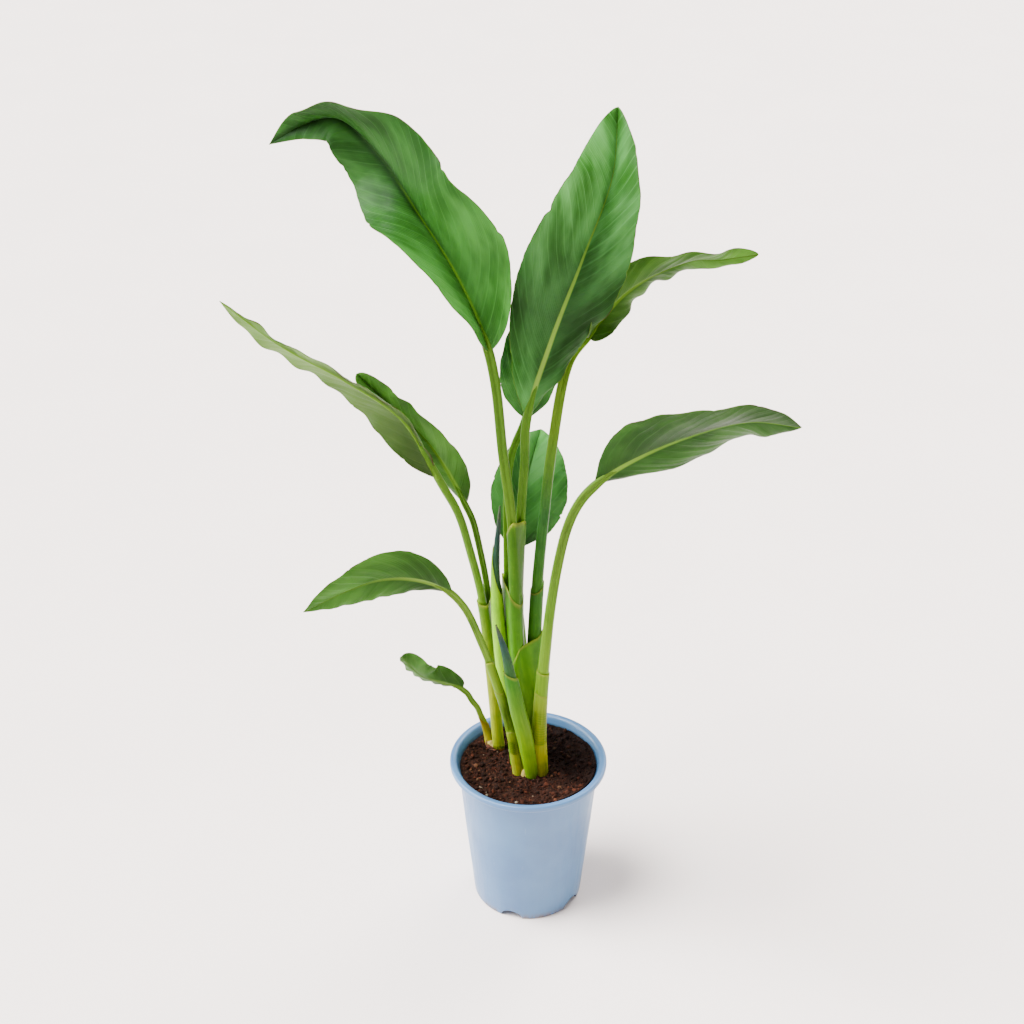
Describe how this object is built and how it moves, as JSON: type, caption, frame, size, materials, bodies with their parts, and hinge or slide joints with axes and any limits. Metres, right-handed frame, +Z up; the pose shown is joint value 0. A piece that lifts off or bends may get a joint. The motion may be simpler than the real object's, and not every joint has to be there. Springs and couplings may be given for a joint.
{
  "type": "potted bird of paradise plant",
  "caption": "Young bird of paradise in a thin tapered nursery pot: long paddle leaves on slender stalks fan out above dark potting soil.",
  "frame": {"origin": "middle of the pot floor's underside, on the surface that the pot stands on", "axes": "+Z up out of the pot, along the stalks; -Y towards the front, where the leaf faces are seen; +X to the right of someone who faces that front"},
  "size_m": [0.3803, 0.1645, 0.6179],
  "materials": {
    "pot_plastic": "satin",
    "potting_soil": "matte",
    "crown": "satin",
    "leaf_stalk": "satin",
    "leaf_blade": "satin",
    "rolled_leaf": "satin"
  },
  "bodies": {
    "root": {"pot": "pot_plastic", "soil": "potting_soil", "crown_main": "crown", "crown_offset": "crown", "tall_left_stalk": "leaf_stalk", "tall_left_blade": "leaf_blade", "tall_centre_stalk": "leaf_stalk", "tall_centre_blade": "leaf_blade", "upper_right_stalk": "leaf_stalk", "upper_right_blade": "leaf_blade", "mid_right_stalk": "leaf_stalk", "mid_right_blade": "leaf_blade", "mid_left_stalk": "leaf_stalk", "mid_left_blade": "leaf_blade", "mid_left_back_stalk": "leaf_stalk", "mid_left_back_blade": "leaf_blade", "low_left_stalk": "leaf_stalk", "low_left_blade": "leaf_blade", "small_left_stalk": "leaf_stalk", "small_left_blade": "leaf_blade", "back_stalk": "leaf_stalk", "back_blade": "leaf_blade", "centre_back_stalk": "leaf_stalk", "centre_back_blade": "leaf_blade", "spear_front": "rolled_leaf", "spear_back": "rolled_leaf"}
  },
  "joints": []
}
